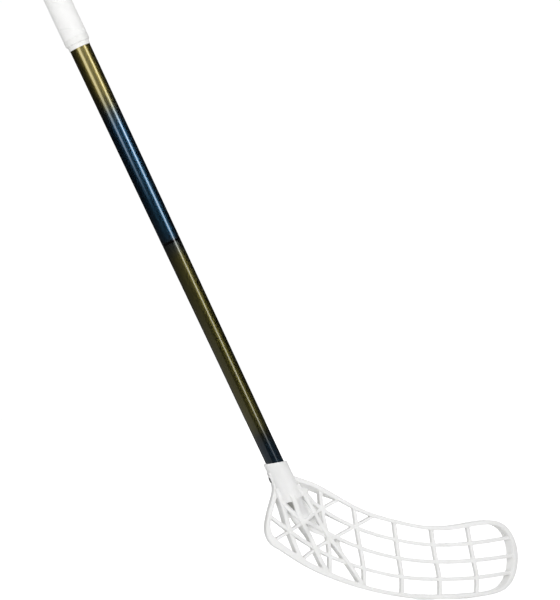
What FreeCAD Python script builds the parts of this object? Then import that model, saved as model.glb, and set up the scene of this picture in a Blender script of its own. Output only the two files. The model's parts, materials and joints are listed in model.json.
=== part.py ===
"""Floorball stick: a tapered tube shaft, a lattice blade held on it by one screw, and a wrapped grip.

The origin is the middle of the grip, on the axis of the shaft. The stick stands as it is shown in a
side view: +Z is up, the shaft leans towards -X at its butt end, and the blade points towards +X.
Lengths are in millimetres and angles in degrees.
"""
import FreeCAD, Part
import math
import os
import Sketcher
from FreeCAD import Placement, Rotation, Vector

SIZES = [
    ("shaft_lean", 25.17, "lean of the shaft from upright, degrees"),
    ("exposed_length", 504, "bare shaft between the grip and the mouth of the socket"),
    ("insertion_depth", 60, "shaft inside the socket"),
    ("shaft_butt_diameter", 23.6, "parallel stretch under the grip"),
    ("taper_length", 385, "main taper below the grip"),
    ("shaft_waist_diameter", 19.8, "where the main taper ends"),
    ("shaft_neck_diameter", 19.2, "parallel stretch in the socket"),
    ("shaft_wall", 1.5, "wall of the tube"),
    ("grip_length", 273.5, "wrapped band that is left bare"),
    ("grip_diameter", 28.6, "outside of the wrapped band"),
    ("band_pitch", 32, "one turn of the band along the shaft"),
    ("seam_width", 0.5, "gap between neighbouring turns of the band, at the shaft"),
    ("seam_mouth", 0.9, "the same gap at the outside, where the edges are rounded off"),
    ("seam_lead", 6.1, "seam above the foot of the band, on the side towards the toe"),
    ("wrap_clearance", 0.1, "radial room under the band and the tape"),
    ("tape_skirt_length", 5.5, "finishing tape on the bare shaft"),
    ("tape_cover_length", 7, "finishing tape over the thinned end of the band"),
    ("tape_thickness", 0.5, "finishing tape"),
    ("tape_inset", 0.3, "outside of the tape below the outside of the band"),
    ("cap_flange_diameter", 28, "butt cap, under the band's so that a clamp slides on over it"),
    ("cap_flange_height", 7, "butt cap beyond the end of the shaft"),
    ("cap_edge", 1.6, "bevel round the butt cap"),
    ("cap_plug_length", 24, "butt cap inside the shaft"),
    ("cap_plug_wall", 2.5, "wall of the hollow plug"),
    ("cap_clearance", 0.1, "radial room round the plug, and under the flange"),
    ("face_turn", 16, "turn of the blade about the upright, toe away from the front, degrees"),
    ("blade_length", 299.5, "heel to toe, along the straight part of the face"),
    ("heel_reach", 17, "heel behind the shaft's axis, at the level of the screw"),
    ("screw_rise", 140.6, "level of the screw above the lowest edge of the blade"),
    ("hook_radius", 120, "bend of the toe"),
    ("rim_depth", 10.5, "rim, front to back"),
    ("rib_depth", 7.8, "long, cross and diagonal ribs, front to back"),
    ("rib_width", 3.7, "long and cross ribs"),
    ("brace_width", 2.9, "diagonal ribs"),
    ("fan_width", 4.6, "ribs that spread from the socket"),
    ("fan_top_depth", 23, "front to back at the socket"),
    ("fan_foot_depth", 12, "front to back at the lower edge"),
    ("hosel_diameter", 25, "outside of the socket"),
    ("mouth_drop", 15.4, "screw below the middle of the socket's mouth"),
    ("mouth_slant", 15.6, "slant of the mouth, heel side higher, degrees"),
    ("collar_length", 45, "thick stretch of the socket below the mouth"),
    ("sleeve_diameter", 22.4, "outside of the socket below the thick stretch"),
    ("socket_length", 70, "mouth to closed end"),
    ("socket_tip_diameter", 16, "closed end"),
    ("socket_floor", 3, "thickness of the closed end"),
    ("hollow_diameter", 13, "hollow below the end of the shaft"),
    ("window_drop", 46.3, "front window below the mouth"),
    ("window_height", 12.4, "front window"),
    ("window_width", 6.6, "front window, from the shaft's axis towards the heel"),
    ("bore_clearance", 0.1, "room round and below the shaft in the socket"),
    ("boss_diameter", 10, "boss round the screw"),
    ("boss_reach", 13.8, "face of the boss from the shaft's axis"),
    ("head_setback", 0.4, "screw head below the face of the boss"),
    ("screw_length", 9, "screw over all"),
    ("screw_head_diameter", 7, "screw head"),
    ("screw_head_height", 1.8, "screw head"),
    ("screw_shank_diameter", 4, "screw shank"),
    ("screw_tip", 0.8, "bevel at the point of the screw"),
    ("screw_clearance", 0.1, "radial room round the screw"),
    ("recess_length", 4.2, "cross recess, arm to arm"),
    ("recess_width", 1.1, "cross recess, one arm"),
    ("recess_depth", 1.3, "cross recess"),
    ("overrun", 20, "cutting shapes past the faces they cut"),
]

# Places on the blade's face: the first number runs from the heel (0) to the toe (1) along the
# blade's length, the second from the lowest edge (0) to the level of the screw (1).
RIM_OUTER_SHARES = [
    [(0.007, 1.016), (0.026, 0.906)],
    [(0.026, 0.906), (0.019, 0.804), (0.002, 0.641), (0.001, 0.563), (0.022, 0.466), (0.051, 0.421),
     (0.127, 0.312), (0.281, 0.158), (0.435, 0.06), (0.669, 0), (0.825, 0.015), (0.888, 0.031),
     (0.957, 0.091), (0.998, 0.281), (0.97, 0.493), (0.902, 0.605), (0.862, 0.616), (0.728, 0.586),
     (0.649, 0.577), (0.513, 0.627), (0.358, 0.733), (0.169, 0.946)],
    [(0.169, 0.946), (0.1, 0.995)],
    [(0.1, 0.995), (0.007, 1.016)],
]
RIM_INNER_SHARES = [
    [(0.039, 0.905), (0.033, 0.804), (0.018, 0.687), (0.013, 0.609), (0.024, 0.531), (0.052, 0.475),
     (0.127, 0.363), (0.281, 0.201), (0.435, 0.092), (0.669, 0.034), (0.825, 0.044), (0.897, 0.059),
     (0.929, 0.087), (0.971, 0.205), (0.974, 0.365), (0.948, 0.496), (0.897, 0.572), (0.842, 0.584),
     (0.728, 0.552), (0.669, 0.546), (0.513, 0.599), (0.358, 0.703), (0.169, 0.911)],
    [(0.169, 0.911), (0.115, 0.95)],
    [(0.115, 0.95), (0.039, 0.905)],
]
LONG_RIB_SHARES = [
    [(0.109, 0.918), (0.215, 0.727), (0.34, 0.585), (0.499, 0.478), (0.67, 0.429), (0.797, 0.437),
     (0.97, 0.47)],
    [(0.067, 0.787), (0.138, 0.651), (0.251, 0.522), (0.367, 0.411), (0.514, 0.328), (0.67, 0.295),
     (0.809, 0.3), (0.984, 0.323)],
    [(0.014, 0.687), (0.094, 0.563), (0.193, 0.418), (0.378, 0.253), (0.526, 0.181), (0.674, 0.157),
     (0.818, 0.163), (0.975, 0.189)],
]
CROSS_RIB_SHARES = [
    [(0.209, 0.876), (0.217, 0.727), (0.238, 0.514), (0.246, 0.381), (0.247, 0.216)],
    [(0.34, 0.731), (0.351, 0.581), (0.365, 0.419), (0.378, 0.261), (0.38, 0.116)],
    [(0.495, 0.623), (0.504, 0.477), (0.514, 0.338), (0.526, 0.181), (0.526, 0.046)],
    [(0.64, 0.562), (0.649, 0.431), (0.661, 0.297), (0.674, 0.159), (0.674, 0.023)],
    [(0.782, 0.576), (0.795, 0.436), (0.809, 0.299), (0.822, 0.166), (0.82, 0.031)],
]
BRACE_SHARES = [
    [(0.031, 0.487), (0.094, 0.563), (0.182, 0.691), (0.276, 0.796)],
    [(0.14, 0.334), (0.193, 0.418), (0.27, 0.509), (0.417, 0.669)],
]
FAN_SHARES = [
    [(0.044, 0.9), (0.067, 0.763), (0.094, 0.567), (0.134, 0.346)],
    [(0.082, 0.9), (0.138, 0.644), (0.19, 0.422), (0.238, 0.224)],
    [(0.113, 0.926), (0.151, 0.8), (0.247, 0.498), (0.313, 0.315), (0.371, 0.132)],
]
HOOK_START_SHARE = 0.747
FULL_TURN = 360
QUARTER_TURN = 90
POINTS_PER_TURN = 48

doc = FreeCAD.newDocument("floorball_stick")


def fill_sheet():
    """The driving sizes, one to a row: its name, its value under that name, and what it is."""
    table = doc.addObject("Spreadsheet::Sheet", "sizes")
    for row, (name, value, meaning) in enumerate(SIZES, start=1):
        table.set(f"A{row}", name)
        table.set(f"B{row}", str(value))
        table.setAlias(f"B{row}", name)
        table.set(f"C{row}", meaning)
    doc.recompute()
    return table


sheet = fill_sheet()


def size(name):
    """The value of one named size."""
    return float(sheet.get(name))


def formula(text):
    """A formula in size names, as an expression on the sheet's cells."""
    words = text.replace("(", " ( ").replace(")", " ) ").split()
    names = {name for name, value, meaning in SIZES}
    return " ".join("sizes." + word if word in names else word for word in words)


def bind(piece, **properties):
    """Bind properties of an object to formulas in size names."""
    for name, text in properties.items():
        piece.setExpression(name, formula(text))


def worked_out(text):
    """The number that a formula in size names gives."""
    return float(sheet.evalExpression(formula(text).replace("sizes.", "")))


# Heights along the shaft, upwards from the middle of the bare band, then lengths and radii
BAND_FOOT = "0 - grip_length / 2 - tape_cover_length"
TAPE_FOOT = f"{BAND_FOOT} - tape_skirt_length"
MOUTH = f"{TAPE_FOOT} - exposed_length"
SHAFT_END = f"{MOUTH} - insertion_depth"
SCREW_LEVEL = f"{MOUTH} - mouth_drop"
SOCKET_END = f"{MOUTH} - socket_length"
BAND_LENGTH = "grip_length + tape_cover_length"
SHAFT_LENGTH = f"{BAND_LENGTH} + tape_skirt_length + exposed_length + insertion_depth"
BAND_BORE = "shaft_butt_diameter / 2 + wrap_clearance"
THINNED_BAND = "grip_diameter / 2 - tape_inset - tape_thickness - wrap_clearance"

leaning = Placement(Vector(), Rotation(Vector(0, 1, 0), -size("shaft_lean")))
turned = Rotation(Vector(0, 0, 1), size("face_turn"))


def on_shaft(height, rotation=Rotation()):
    """The place on the leaning shaft's axis at a height given as a formula."""
    return leaning * Placement(Vector(0, 0, worked_out(height)), rotation)


blade_frame = Placement(on_shaft(SCREW_LEVEL).Base, turned)


def origin_plane(body, role):
    """One of a body's own origin planes."""
    return next(plane for plane in body.Origin.OriginFeatures if plane.Role == role)


def new_sketch(body, name, role):
    """A sketch on one of the body's origin planes."""
    sketch = body.newObject("Sketcher::SketchObject", name)
    sketch.AttachmentSupport = [(origin_plane(body, role), "")]
    sketch.MapMode = "FlatFace"
    return sketch


def pin_point(sketch, edge, end, across, up):
    """Hold one end of an edge at two distances from the sketch's origin, each bound to a formula."""
    for kind, text in (("DistanceX", across), ("DistanceY", up)):
        place = sketch.addConstraint(
            Sketcher.Constraint(kind, -1, 1, edge, end, worked_out(text)))
        sketch.setExpression(f"Constraints[{place}]", formula(text))


def draw_polygon(sketch, corners):
    """A closed outline of straight lines through corners given as pairs of formulas."""
    points = [Vector(worked_out(across), worked_out(up), 0) for across, up in corners]
    count = len(points)
    for edge in range(count):
        sketch.addGeometry(Part.LineSegment(points[edge], points[(edge + 1) % count]))
    for edge in range(count):
        sketch.addConstraint(Sketcher.Constraint("Coincident", edge, 2, (edge + 1) % count, 1))
    for edge, (across, up) in enumerate(corners):
        pin_point(sketch, edge, 1, across, up)


def turned_body(label, profile):
    """A turned piece: a profile of radius and height formulas, spun about the body's Z axis."""
    body = doc.addObject("PartDesign::Body", label)
    sketch = new_sketch(body, label + "_profile", "XZ_Plane")
    draw_polygon(sketch, profile)
    spin = body.newObject("PartDesign::Revolution", label + "_spin")
    spin.Profile = sketch
    spin.ReferenceAxis = (sketch, ["V_Axis"])
    spin.Angle = FULL_TURN
    doc.recompute()
    return body


def make_shaft():
    """The tube: parallel under the grip and in the socket, tapered in between, with a screw hole."""
    neck_top = "insertion_depth"
    waist = "insertion_depth + exposed_length - taper_length"
    taper_top = "insertion_depth + exposed_length"
    stations = [
        ("shaft_neck_diameter / 2", "0"),
        ("shaft_neck_diameter / 2", neck_top),
        ("shaft_waist_diameter / 2", waist),
        ("shaft_butt_diameter / 2", taper_top),
        ("shaft_butt_diameter / 2", SHAFT_LENGTH),
    ]
    bore = [(f"{radius} - shaft_wall", height) for radius, height in reversed(stations)]
    body = turned_body("shaft_tube", stations + bore)
    hole = new_sketch(body, "screw_hole_outline", "YZ_Plane")
    radius = "screw_shank_diameter / 2 + screw_clearance"
    height = "insertion_depth - mouth_drop"
    hole.addGeometry(Part.Circle(Vector(0, worked_out(height), 0), Vector(0, 0, 1), worked_out(radius)))
    pin_point(hole, 0, 3, "0", height)
    place = hole.addConstraint(Sketcher.Constraint("Radius", 0, worked_out(radius)))
    hole.setExpression(f"Constraints[{place}]", formula(radius))
    pocket = body.newObject("PartDesign::Pocket", "screw_hole")
    pocket.Profile = hole
    bind(pocket, Length="shaft_neck_diameter")
    before = body.Shape.Volume
    doc.recompute()
    if body.Shape.Volume >= before:
        raise RuntimeError("the screw hole cuts nothing")
    body.Placement = on_shaft(SHAFT_END, turned)
    return body


def least_gap(band):
    """The least distance across the seam, between points on its two edges at the shaft.

    Each point is carried down its own edge to where that edge starts, which tells the edges apart.
    """
    inner = worked_out(BAND_BORE)
    step = size("seam_width") / 2
    tolerance = size("seam_width") / POINTS_PER_TURN
    starts = {}
    for edge in band.Edges:
        if isinstance(edge.Curve, (Part.Line, Part.Circle)):
            continue
        if any(abs(math.hypot(v.X, v.Y) - inner) > tolerance for v in edge.Vertexes):
            continue
        for point in edge.discretize(POINTS_PER_TURN):
            angle = math.degrees(math.atan2(point.y, point.x)) % FULL_TURN
            start = point.z + size("band_pitch") * angle / FULL_TURN
            starts.setdefault(round(start / step), []).append(point)
    levels = sorted(starts)
    gaps = []
    for low, high in zip(levels, levels[1:]):
        if (high - low) * step < size("band_pitch") / 2:
            gaps.append(min(a.distanceToPoint(b) for a in starts[low] for b in starts[high]))
    return min(gaps)


def make_grip():
    """The band wound round the butt: a sleeve parted by one winding seam into a single unbroken band.

    Its lower end is thinned to take the finishing tape.
    """
    outer = "grip_diameter / 2"
    body = turned_body("grip_wrap", [
        (BAND_BORE, "0"),
        (THINNED_BAND, "0"),
        (THINNED_BAND, "tape_cover_length"),
        (outer, "tape_cover_length"),
        (outer, BAND_LENGTH),
        (BAND_BORE, BAND_LENGTH)])
    sketch = new_sketch(body, "seam_section", "XZ_Plane")
    near = f"{BAND_BORE} - wrap_clearance"
    far = f"{outer} + wrap_clearance"
    foot = "seam_lead - band_pitch"
    flare = "( seam_mouth - seam_width ) / 2"
    draw_polygon(sketch, [
        (near, foot),
        (far, f"{foot} - {flare}"),
        (far, f"{foot} + seam_width + {flare}"),
        (near, f"{foot} + seam_width")])
    seam = body.newObject("PartDesign::SubtractiveHelix", "seam")
    seam.Profile = sketch
    seam.ReferenceAxis = (sketch, ["V_Axis"])
    seam.Mode = "pitch-height-angle"
    seam.LeftHanded = True
    bind(seam, Pitch="band_pitch", Height=f"{BAND_LENGTH} + 2 * band_pitch")
    before = body.Shape.Volume
    doc.recompute()
    if body.Shape.Volume >= before:
        raise RuntimeError("the seam cuts nothing")
    print(f"least gap of the band to itself {least_gap(body.Shape):.2f} mm")
    body.Placement = on_shaft(BAND_FOOT)
    return body


def make_tape():
    """The finishing tape: a thin sleeve on the shaft that steps up over the thinned end of the band."""
    band = f"{THINNED_BAND} + wrap_clearance"
    step = "tape_skirt_length - wrap_clearance"
    top = "tape_skirt_length + tape_cover_length - wrap_clearance"
    body = turned_body("finishing_tape", [
        (BAND_BORE, "0"),
        (f"{BAND_BORE} + tape_thickness", "0"),
        (f"{BAND_BORE} + tape_thickness", f"{step} - tape_thickness"),
        (f"{band} + tape_thickness", f"{step} - tape_thickness"),
        (f"{band} + tape_thickness", top),
        (band, top),
        (band, step),
        (BAND_BORE, step)])
    body.Placement = on_shaft(TAPE_FOOT)
    return body


def make_cap():
    """The butt cap: a hollow plug inside the tube, under a bevelled flange over its end."""
    plug = "shaft_butt_diameter / 2 - shaft_wall - cap_clearance"
    seat = "cap_plug_length + cap_clearance"
    top = f"{seat} + cap_flange_height"
    flange = "cap_flange_diameter / 2"
    body = turned_body("butt_cap", [
        (f"{plug} - cap_plug_wall", "0"),
        (f"{plug} - cap_edge / 2", "0"),
        (plug, "cap_edge"),
        (plug, seat),
        (f"{flange} - cap_edge / 2", seat),
        (flange, f"{seat} + cap_edge / 2"),
        (flange, f"{top} - cap_edge"),
        (f"{flange} - cap_edge", top),
        ("0", top),
        ("0", seat),
        (f"{plug} - cap_plug_wall", seat)])
    body.Placement = on_shaft("grip_length / 2 - cap_plug_length")
    return body


def make_screw():
    """The screw that holds the blade: a flat head with a cross recess, and a bevelled shank."""
    shank = "screw_shank_diameter / 2"
    head = "screw_head_diameter / 2"
    body = turned_body("blade_screw", [
        ("0", "0"),
        (head, "0"),
        (head, "screw_head_height"),
        (shank, "screw_head_height"),
        (shank, "screw_length - screw_tip"),
        (f"{shank} - screw_tip", "screw_length"),
        ("0", "screw_length")])
    half = "recess_length / 2"
    arm = "recess_width / 2"
    quarter = [(half, arm), (arm, arm), (arm, half)]
    corners = quarter
    corners = corners + [(f"0 - {across}", up) for across, up in reversed(quarter)]
    corners = corners + [(f"0 - {across}", f"0 - {up}") for across, up in quarter]
    corners = corners + [(across, f"0 - {up}") for across, up in reversed(quarter)]
    sketch = new_sketch(body, "recess_outline", "XY_Plane")
    draw_polygon(sketch, corners)
    pocket = body.newObject("PartDesign::Pocket", "recess")
    pocket.Profile = sketch
    pocket.Reversed = True
    bind(pocket, Length="recess_depth")
    before = body.Shape.Volume
    doc.recompute()
    if body.Shape.Volume >= before:
        raise RuntimeError("the cross recess cuts nothing")
    inward = Rotation(Vector(0, 1, 0), QUARTER_TURN)
    head_face = Placement(Vector(-worked_out("boss_reach - head_setback"), 0, 0), inward)
    body.Placement = on_shaft(SCREW_LEVEL, turned) * head_face
    return body


def face_place(share):
    """A place on the blade's flat face, along and up from the screw, from its pair of shares."""
    along, rise = share
    return along * size("blade_length") - size("heel_reach"), (rise - 1) * size("screw_rise")


def hook(along):
    """How far back the bent face lies at a place along it, and the slope of the face there."""
    start = HOOK_START_SHARE * size("blade_length") - size("heel_reach")
    if along <= start:
        return 0, 0
    angle = math.asin((along - start) / size("hook_radius"))
    return size("hook_radius") * (1 - math.cos(angle)), math.tan(angle)


def stretch(points):
    """One edge through the points: a straight line for two, a smooth curve for more."""
    if len(points) == 2:
        return Part.makeLine(*points)
    curve = Part.BSplineCurve()
    curve.interpolate(points)
    return curve.toShape()


def rim_section(label, stretches, depth):
    """The rim's outline where walls square to the bent face meet the upright plane at one depth."""
    edges = []
    for shares in stretches:
        points = []
        for share in shares:
            along, up = face_place(share)
            back, slope = hook(along)
            points.append(Vector(along + (back - depth) * slope, depth, up))
        edges.append(stretch(points))
    section = doc.addObject("Part::Feature", label)
    section.Shape = Part.Wire(edges)
    return section


def rim_block(label, stretches):
    """The solid inside one of the rim's outlines, from in front of the face to behind the toe."""
    toe_back = hook(size("blade_length") - size("heel_reach"))[0]
    block = doc.addObject("Part::Loft", label)
    block.Sections = [
        rim_section(label + "_front", stretches, -size("rim_depth")),
        rim_section(label + "_back", stretches, toe_back + size("rim_depth"))]
    block.Solid = True
    block.Ruled = True
    return block


def bent_slab(label, thickness):
    """A slab of one thickness that follows the blade: flat, then bent round an arc at the toe."""
    start = HOOK_START_SHARE * size("blade_length") - size("heel_reach")
    radius = size("hook_radius")
    heel = -size("heel_reach") - size("overrun")
    low = -size("screw_rise") - size("overrun")
    edges = []
    ends = []
    for side in (-1, 1):
        reach = radius - side * size(thickness) / 2
        bow = [Vector(start + reach * math.sin(angle), radius - reach * math.cos(angle), low)
               for angle in (0, math.radians(QUARTER_TURN) / 2, math.radians(QUARTER_TURN))]
        tail = Vector(heel, bow[0].y, low)
        edges.append([Part.makeLine(tail, bow[0]), Part.Arc(*bow).toShape()])
        ends.append((tail, bow[2]))
    outline = edges[0] + [Part.makeLine(ends[0][1], ends[1][1])]
    outline = outline + list(reversed(edges[1])) + [Part.makeLine(ends[1][0], ends[0][0])]
    profile = doc.addObject("Part::Feature", label + "_profile")
    profile.Shape = Part.Face(Part.Wire(Part.__sortEdges__(outline)))
    slab = doc.addObject("Part::Extrusion", label)
    slab.Base = profile
    slab.DirMode = "Custom"
    slab.Dir = Vector(0, 0, 1)
    slab.Solid = True
    bind(slab, LengthFwd="screw_rise + 3 * overrun")
    return slab


def strip(shares, width):
    """A flat strip of one width along a smooth line through places on the face."""
    points = [Vector(along, 0, up) for along, up in map(face_place, shares)]
    line = Part.BSplineCurve()
    line.interpolate(points)
    sides = []
    for side in (1, -1):
        edge_points = []
        for point in points:
            run = line.tangent(line.parameter(point))[0]
            edge_points.append(point + Vector(-run.z, 0, run.x) * (side * width / 2))
        sides.append(edge_points)
    left, right = sides
    outline = [stretch(left), Part.makeLine(left[-1], right[-1]), stretch(right),
               Part.makeLine(right[0], left[0])]
    return Part.Face(Part.Wire(Part.__sortEdges__(outline)))


def rib_block(label, strips):
    """Strips on the face made one outline and carried through from front to back."""
    outline = doc.addObject("Part::Feature", label + "_outline")
    outline.Shape = strips[0].multiFuse(strips[1:]).removeSplitter()
    block = doc.addObject("Part::Extrusion", label)
    block.Base = outline
    block.DirMode = "Custom"
    block.Dir = Vector(0, 1, 0)
    block.Solid = True
    bind(block, LengthFwd="hook_radius", LengthRev="hook_radius")
    return block


def combine(kind, label, shapes):
    """A fuse or common of several objects, or a cut of the first by the second."""
    result = doc.addObject(kind, label)
    if kind == "Part::Cut":
        result.Base, result.Tool = shapes
    else:
        result.Shapes = shapes
    return result


def make_lattice():
    """The blade's rim with its long, cross and diagonal ribs and the fan of deep ribs."""
    ring = combine("Part::Cut", "rim_ring", [
        rim_block("rim_outer", RIM_OUTER_SHARES), rim_block("rim_inner", RIM_INNER_SHARES)])
    rim = combine("Part::MultiCommon", "rim", [ring, bent_slab("rim_slab", "rim_depth")])
    ribs = [strip(shares, size("rib_width")) for shares in LONG_RIB_SHARES + CROSS_RIB_SHARES]
    ribs = ribs + [strip(shares, size("brace_width")) for shares in BRACE_SHARES]
    ribs = combine("Part::MultiCommon", "ribs", [
        rib_block("rib_walls", ribs), bent_slab("rib_slab", "rib_depth")])
    envelope = doc.addObject("Part::Wedge", "fan_envelope")
    bind(envelope,
         Xmin="0 - heel_reach", Xmax="blade_length", X2min="0 - heel_reach", X2max="blade_length",
         Ymin="0 - screw_rise", Ymax="0",
         Zmin="0 - fan_foot_depth / 2", Zmax="fan_foot_depth / 2",
         Z2min="0 - fan_top_depth / 2", Z2max="fan_top_depth / 2")
    envelope.Placement = Placement(Vector(), Rotation(Vector(1, 0, 0), QUARTER_TURN))
    fans = [strip(shares, size("fan_width")) for shares in FAN_SHARES]
    fans = combine("Part::MultiCommon", "fans", [rib_block("fan_walls", fans), envelope])
    for piece in (rim, ribs, fans):
        piece.Placement = blade_frame
    return [rim, ribs, fans]


def rod(label, diameter, length, place):
    """A round bar or hole of a diameter and length given as formulas, along Z of its place."""
    bar = doc.addObject("Part::Cylinder", label)
    bind(bar, Radius=f"( {diameter} ) / 2", Height=length)
    bar.Placement = place
    return bar


def make_socket():
    """The socket: a stepped closed tube round the shaft's end, which shows through a low front window."""
    outside = turned_body("socket_outside", [
        ("0", "0"),
        ("socket_tip_diameter / 2", "0"),
        ("sleeve_diameter / 2", "socket_length - insertion_depth"),
        ("sleeve_diameter / 2", "socket_length - collar_length"),
        ("hosel_diameter / 2", "socket_length - collar_length"),
        ("hosel_diameter / 2", "socket_length + overrun"),
        ("0", "socket_length + overrun")])
    outside.Placement = on_shaft(SOCKET_END)
    pit = rod("pit", "hollow_diameter", "socket_length - insertion_depth - socket_floor",
              on_shaft(f"{SOCKET_END} + socket_floor"))
    window = doc.addObject("Part::Box", "window")
    bind(window, Length="window_width", Width="hosel_diameter", Height="window_height")
    corner = Vector(-size("window_width"), -size("hosel_diameter"), 0)
    window.Placement = on_shaft(f"{MOUTH} - window_drop - window_height") * Placement(corner, Rotation())
    hollow = combine("Part::MultiFuse", "socket_hollow", [pit, window])
    return combine("Part::Cut", "socket", [outside, hollow])


def make_blade():
    """The blade moulding: lattice and socket in one, cut for the shaft, the mouth and the screw."""
    outward = Rotation(Vector(0, 1, 0), -QUARTER_TURN)
    screw_axis = on_shaft(SCREW_LEVEL, turned) * Placement(Vector(), outward)
    boss = rod("screw_boss", "boss_diameter", "boss_reach", screw_axis)
    solid = combine("Part::MultiFuse", "blade_blank", [make_socket(), boss] + make_lattice())
    bore = rod("shaft_bore", "shaft_neck_diameter + 2 * bore_clearance",
               "insertion_depth + overrun", on_shaft(f"{SHAFT_END} - bore_clearance"))
    shank = rod("shank_hole", "screw_shank_diameter + 2 * screw_clearance",
                "boss_reach + overrun", screw_axis)
    seat = "boss_reach - head_setback - screw_head_height - screw_clearance"
    head = rod("head_hole", "screw_head_diameter + 2 * screw_clearance", "overrun",
               screw_axis * Placement(Vector(0, 0, worked_out(seat)), Rotation()))
    mouth = doc.addObject("Part::Box", "mouth_cut")
    bind(mouth, Length="2 * hosel_diameter", Width="2 * hosel_diameter", Height="2 * hosel_diameter")
    half = size("hosel_diameter")
    slant = Rotation(Vector(0, 1, 0), size("mouth_slant"))
    mouth.Placement = on_shaft(MOUTH, slant) * Placement(Vector(-half, -half, 0), Rotation())
    holes = combine("Part::MultiFuse", "blade_holes", [bore, shank, head, mouth])
    return combine("Part::Cut", "blade", [solid, holes])


def write_parts(pieces):
    """Stop at any failed object or unsound solid, then write one file for each piece."""
    doc.recompute()
    for item in doc.Objects:
        if {"Invalid", "Error"} & set(item.State):
            raise RuntimeError(f"{item.Label} failed: {item.State}")
    for piece in pieces:
        if piece.Shape.isNull() or not piece.Shape.isValid():
            raise RuntimeError(f"{piece.Label} has no sound shape")
    os.makedirs("parts", exist_ok=True)
    for piece in pieces:
        box = piece.Shape.BoundBox
        print(f"{piece.Label}: {len(piece.Shape.Solids)} solid, {piece.Shape.Volume:.0f} mm3, "
              f"{box.XLength:.1f} x {box.YLength:.1f} x {box.ZLength:.1f} mm")
        piece.Shape.exportStep(f"parts/{piece.Label}.step")


write_parts([make_shaft(), make_grip(), make_tape(), make_cap(), make_screw(), make_blade()])
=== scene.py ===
"""Looks of a floorball stick: lacquered shaft, wound grip, and a white lattice blade.

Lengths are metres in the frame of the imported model: the origin is the middle of the grip on the shaft's
axis, +Z is up, the shaft leans towards -X at its butt end and the blade points towards +X.
"""
import json
import bmesh
import bpy
import numpy as np
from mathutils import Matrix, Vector


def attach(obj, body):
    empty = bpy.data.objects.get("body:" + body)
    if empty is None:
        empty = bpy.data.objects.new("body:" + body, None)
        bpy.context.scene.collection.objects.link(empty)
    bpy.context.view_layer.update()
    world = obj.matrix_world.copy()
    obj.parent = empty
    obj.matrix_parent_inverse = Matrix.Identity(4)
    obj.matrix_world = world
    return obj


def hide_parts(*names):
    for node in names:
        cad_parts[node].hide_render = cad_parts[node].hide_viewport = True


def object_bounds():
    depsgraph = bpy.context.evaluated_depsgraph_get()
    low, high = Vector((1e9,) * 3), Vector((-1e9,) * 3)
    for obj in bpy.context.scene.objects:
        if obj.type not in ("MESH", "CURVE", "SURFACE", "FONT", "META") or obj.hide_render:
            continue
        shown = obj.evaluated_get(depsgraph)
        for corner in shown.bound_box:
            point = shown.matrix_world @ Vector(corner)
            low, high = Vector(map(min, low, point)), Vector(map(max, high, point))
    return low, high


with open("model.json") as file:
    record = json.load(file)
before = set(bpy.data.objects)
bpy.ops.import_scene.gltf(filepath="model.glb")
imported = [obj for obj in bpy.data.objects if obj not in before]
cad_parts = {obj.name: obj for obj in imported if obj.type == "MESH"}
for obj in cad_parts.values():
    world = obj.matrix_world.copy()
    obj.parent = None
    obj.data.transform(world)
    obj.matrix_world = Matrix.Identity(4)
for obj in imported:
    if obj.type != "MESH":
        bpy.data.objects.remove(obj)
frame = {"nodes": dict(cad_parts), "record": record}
cad_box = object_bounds()

# The shaft's line, from the grip mount: up towards the butt, across towards the toe, and back
GRIP = next(mount for mount in frame["record"]["mounts"] if mount["name"] == "grip")
UP = np.array(GRIP["axis"])
ACROSS = np.array([UP[2], 0, -UP[0]])
BACK = np.array([0.0, 1.0, 0.0])
UPRIGHT = np.array([0.0, 0.0, 1.0])

# Lengths along the shaft, and the heights that they give, up from the middle of the grip
MM_PER_M = 1000
TAPED_BAND = 0.007
TAPE_SKIRT = 0.0055
WAIST_DROP = 0.385
BARE_SHAFT = 0.504
SCREW_DROP = 0.0154
SHAFT_SEATING = 0.06
BAND_TOP = GRIP["dims"]["length_mm"] / MM_PER_M / 2
BAND_FOOT = -BAND_TOP - TAPED_BAND
TAPE_FOOT = BAND_FOOT - TAPE_SKIRT
WAIST = TAPE_FOOT - WAIST_DROP
MOUTH = TAPE_FOOT - BARE_SHAFT
SCREW_LEVEL = MOUTH - SCREW_DROP
SHAFT_FOOT = MOUTH - SHAFT_SEATING

# Shaft
BUTT_RADIUS = 0.0118
WAIST_RADIUS = 0.0099
NECK_RADIUS = 0.0096
SHAFT_WALL = 0.0015
FIT_GAP = 0.0001

# Wound band: its turns, the step and rounding of their lap, and slight swells round the shaft
BAND_RADIUS = GRIP["dims"]["r_mm"] / MM_PER_M
BAND_BORE = BUTT_RADIUS + FIT_GAP
BAND_PITCH = 0.032
BAND_LEAD = 0.0087
LAP_STEP = 0.0002
LAP_ROUNDING = 0.0007
BAND_SWELL = 0.00003
BAND_LOBES = 3

# Finishing tape: a step at the foot of the band, and a top edge that sinks into the band
TAPE_RADIUS = 0.014
TAPE_THICKNESS = 0.0005
TAPE_COVER = 0.0068
TAPE_STEP = 0.0004
TAPE_BEND = 0.0014
TAPE_FILLET = 0.0009
TAPE_EDGE = 0.0002
TAPE_EDGE_INSET = 0.0003
TAPE_TOP_SINKS = (0.00008, 0.00014)

# Butt cap: a plug, and a flange with a round groove in its top
CAP_RADIUS = 0.014
CAP_FLANGE = 0.007
CAP_ROUNDING = 0.0018
CAP_LIP = 0.0008
CAP_PLUG_RADIUS = 0.0102
CAP_PLUG_LENGTH = 0.024
CAP_PLUG_WALL = 0.0025
CAP_PLUG_CHAMFER = (0.0008, 0.0016)
CAP_GROOVE = (0.0022, 0.003, 0.0042, 0.005)
CAP_GROOVE_DEPTH = 0.0005

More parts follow.
